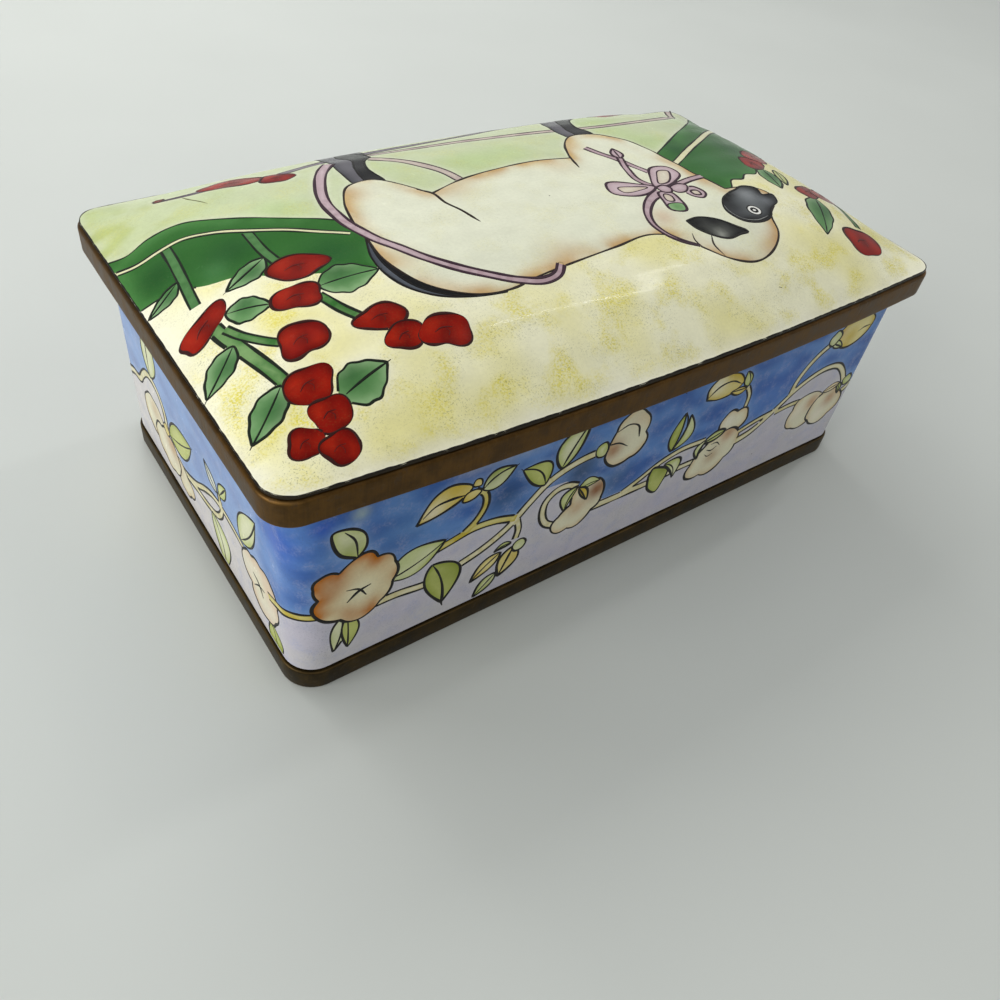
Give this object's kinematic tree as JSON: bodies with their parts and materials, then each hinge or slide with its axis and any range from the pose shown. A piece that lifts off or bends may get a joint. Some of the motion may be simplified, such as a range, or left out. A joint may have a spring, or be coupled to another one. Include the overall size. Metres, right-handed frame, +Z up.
{
  "type": "cloisonne enamel box",
  "caption": "Small oblong trinket box of painted enamel on copper, with bronze bands and a domed lift-off lid over a hollow inside.",
  "frame": {"origin": "on the surface the box stands on, under the middle of the foot band", "axes": "+X along the length, +Y across the width, +Z up; the picture's nearer long side faces -Y and its short side -X"},
  "size_m": [0.11, 0.065, 0.0456],
  "materials": {
    "side_enamel": "glossy painted enamel, blue above and lavender white below a black-lined flower scroll",
    "lid_enamel": "glossy painted enamel on cream and yellow, with green leaves, red berries and a pale cat",
    "lid_bronze": "brown aged bronze, satin, rubbed brighter at its edges",
    "foot_bronze": "dark aged bronze, satin, with some dirt"
  },
  "bodies": {
    "root": {"body": "side_enamel", "foot_band": "foot_bronze", "lid_plate": "lid_enamel", "lid_band": "lid_bronze"}
  },
  "joints": []
}
